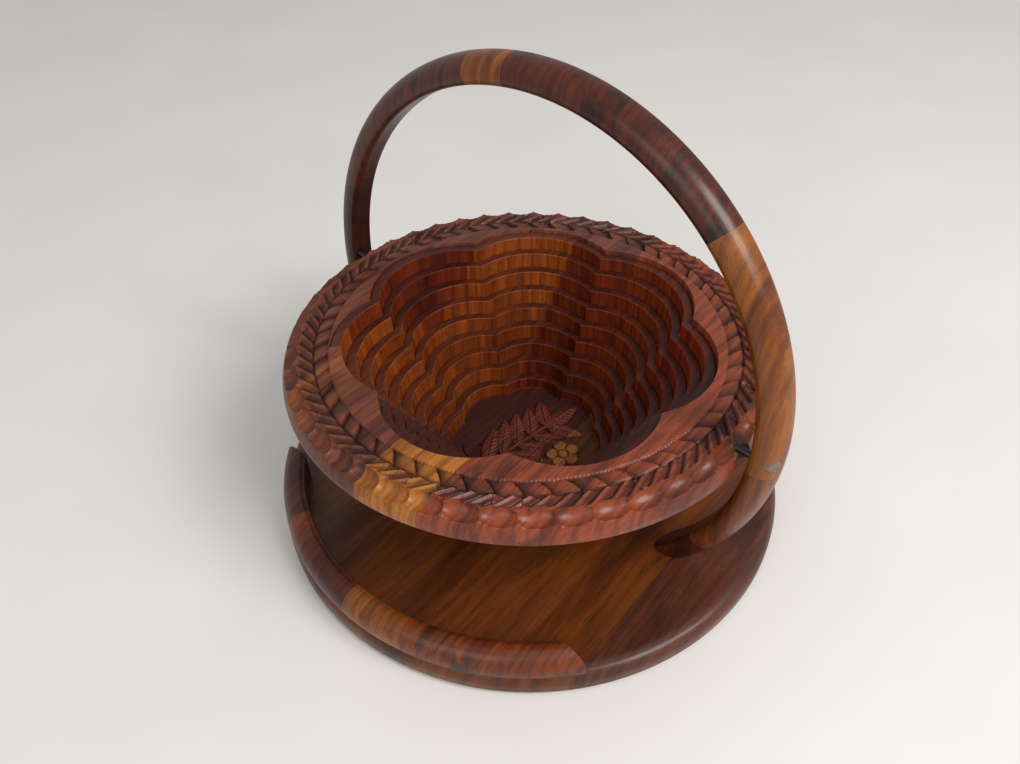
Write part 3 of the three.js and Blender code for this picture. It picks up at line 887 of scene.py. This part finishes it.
def floor_relief(x, y):
    """Height of the carving above the sunk ground of the bowl floor."""
    stem_x, stem_y = STEM_AT
    along_x, along_y = math.cos(STEM_HEADING), math.sin(STEM_HEADING)
    relief = np.zeros_like(x)
    for i, t in enumerate(np.linspace(-34, 14, LEAF_PAIRS)):
        for side in (-1, 1):
            turn = STEM_HEADING + side * (0.72 + 0.08 * i)
            one = leaf(x, y, stem_x + along_x * t, stem_y + along_y * t, turn, 34 - 2.5 * i, 5.2)
            relief = np.maximum(relief, one)
    relief = np.maximum(relief, leaf(x, y, 2.0, 13, STEM_HEADING, 28, 5.6))
    across = (x - stem_x) * along_y - (y - stem_y) * along_x
    distance = (x - stem_x) * along_x + (y - stem_y) * along_y
    stem = CARVED * smoothstep(1.25, 0.55, np.abs(across)) * (distance < 20)
    relief = np.maximum(relief, stem)
    from_middle = np.hypot(x - FLOWER[0], y - FLOWER[1])
    around = np.arctan2(y - FLOWER[1], x - FLOWER[0])
    petals = FLOWER_RADIUS * (0.74 + 0.26 * np.abs(np.cos(2.5 * around)))
    flower = 2.1 * smoothstep(0.5, -0.6, from_middle - petals)
    flower *= 1 - 0.8 * np.exp(-((from_middle - FLOWER_EYE) / 0.6) ** 2)
    flower *= 1 - 0.7 * np.exp(-(np.cos(2.5 * around) / 0.16) ** 2) * (from_middle > FLOWER_EYE)
    clear = smoothstep(1.5, 0.0, from_middle - FLOWER_CLEAR)
    return relief * (1 - clear) + flower * clear


def make_floor():
    columns, rings = 673, 84
    sweep = np.linspace(360.0 * TURNS, 360.0 * (TURNS + 1), columns)
    angle = cut_angle(sweep)
    edge = cut_radius(sweep) - KERF_HALF
    share = np.linspace(0.012, 1, rings)
    radius = edge[:, None] * share[None, :]
    x, y = radius * np.cos(angle)[:, None], radius * np.sin(angle)[:, None]
    relief = floor_relief(x, y)
    relief[:, -1] = CARVED
    stipple = 0.12 * np.sin(x * 2.9 + 1.3 * np.sin(y * 1.7)) * np.sin(y * 2.6)
    depth = np.clip(CARVED - relief, 0, CARVED) + stipple * (relief < 0.4)
    top = FLOOR_Z + PANEL_THICK - np.maximum(depth, 0)

    # The side leans in like the saw cut, and the last two rows lie on the underside
    grid = [np.stack([x[:, i], y[:, i], top[:, i]], -1) for i in range(rings)]
    for s, z in ((1.0, -5.0), (1.0, -10.0), (1.0, -15.0), (0.5, -15.0), (0.02, -15.0)):
        r = edge * s + z * BEVEL * (s > 0.4)
        level = np.full(columns, FLOOR_Z + PANEL_THICK + z)
        grid.append(np.stack([r * np.cos(angle), r * np.sin(angle), level], -1))
    verts = np.stack(grid, 1)
    rows = verts.shape[1]
    # Painted shade on the sunk ground, darkest where the carving is cut down most.
    cut = np.zeros((columns, rows))
    cut[:, :rings] = np.clip(depth / CARVED, 0, 1)
    whole = build_mesh("floor_whole", verts.reshape(-1, 3), disc_faces(columns, rows), cut)
    dark = wood("floor_wood", FLOOR, seed=51.0, streak=0.3, gloss=0.45, coat=0.15)
    gold = wood("floor_gold_wood", HONEY, seed=52.0, streak=0.2, gloss=0.45, coat=0.15)
    for name, x0, x1, slot, look in (("floor_left", None, FLOOR_SEAM_X - SEAM, "floor", dark),
                                     ("floor_right", FLOOR_SEAM_X + SEAM, None, "floor_gold", gold)):
        place(name, slice_mesh(whole, name, x0, x1), [look], "base", ["bowl_" + name])
    bpy.data.meshes.remove(whole)


# ---------------------------------------------------------------- carried-over CAD nodes


def dress_cad_nodes():
    """The pins and the dowel are the CAD's own nodes, and only get a material."""
    steel = plain_material("pin_steel", (0.05, 1.0, 1.0), (1800.0, 3.0, 0.6),
                           [(0.3, grey(0.03)), (0.7, grey(0.07))], (0.28, 0.48))
    steel.node_tree.nodes["Principled BSDF"].inputs["Metallic"].default_value = 1.0
    plain = wood("dowel_wood", GOLD, seed=61.0, streak=0.1, gloss=0.6, coat=0.0, sawn=True)
    for name, material in (("pin_left", steel), ("pin_right", steel), ("seam_dowel", plain)):
        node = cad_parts[name]
        if node.material_slots:
            for slot in node.material_slots:
                slot.material = material
        else:
            node.data.materials.append(material)


# ---------------------------------------------------------------- camera, light and table

# The camera, with its focal length as a share of the picture's width and its place in millimetres
SENSOR_WIDTH = 36.0
FOCAL_SHARE = 0.821137255
CAMERA_AT = Vector((225.73, -268.35, 404.17))
CAMERA_RIGHT = Vector((0.762276, 0.646705, -0.026602))
CAMERA_UP = Vector((-0.426677, 0.532983, 0.730668))
CAMERA_AHEAD = Vector((-0.486705, 0.545620, -0.682215))


def make_camera():
    data = bpy.data.cameras.new("camera")
    data.sensor_width = SENSOR_WIDTH
    data.lens = SENSOR_WIDTH * FOCAL_SHARE
    data.clip_start = 0.02
    camera = bpy.data.objects.new("camera", data)
    bpy.context.scene.collection.objects.link(camera)
    rotation = Matrix((CAMERA_RIGHT, CAMERA_UP, -CAMERA_AHEAD)).transposed().to_4x4()
    camera.matrix_world = Matrix.Translation(CAMERA_AT * MM) @ rotation
    bpy.context.scene.camera = camera


def area_light(name, at, power, colour):
    """A square lamp aimed at the middle of the basket."""
    data = bpy.data.lights.new(name, "AREA")
    data.shape = "SQUARE"
    data.size = 0.9
    data.energy = power
    data.color = colour
    light = bpy.data.objects.new(name, data)
    bpy.context.scene.collection.objects.link(light)
    toward = Vector((0, 0, 0.08)) - Vector(at)
    light.rotation_euler = toward.to_track_quat("-Z", "Y").to_euler()
    light.location = at


def make_stage():
    bm = bmesh.new()
    bmesh.ops.create_grid(bm, x_segments=1, y_segments=1, size=6.0)
    mesh = bpy.data.meshes.new("table_top")
    bm.to_mesh(mesh)
    bm.free()
    table = bpy.data.objects.new("table_top", mesh)
    bpy.context.scene.collection.objects.link(table)
    paint = [(0.3, (0.72, 0.705, 0.685)), (0.7, (0.76, 0.745, 0.725))]
    material = plain_material("table_paint", (1.0, 1.0, 1.0), (6.0, 3.0, 0.5), paint, (0.32, 0.32))
    mesh.materials.append(material)
    world = bpy.data.worlds.new("studio")
    world.use_nodes = True
    background = world.node_tree.nodes["Background"]
    background.inputs["Color"].default_value = (1.0, 0.99, 0.975, 1.0)
    background.inputs["Strength"].default_value = 0.5
    bpy.context.scene.world = world
    area_light("key", (1.3, 0.07, 1.35), 28.0, (1.0, 0.98, 0.95))
    area_light("front", (0.3, -1.3, 0.9), 5.0, (1.0, 0.99, 0.97))
    bpy.context.scene.view_settings.view_transform = "Standard"


make_camera()
make_stage()
make_base()
make_crescent()
make_hoop()
make_rim()
make_turns()
make_floor()
dress_cad_nodes()
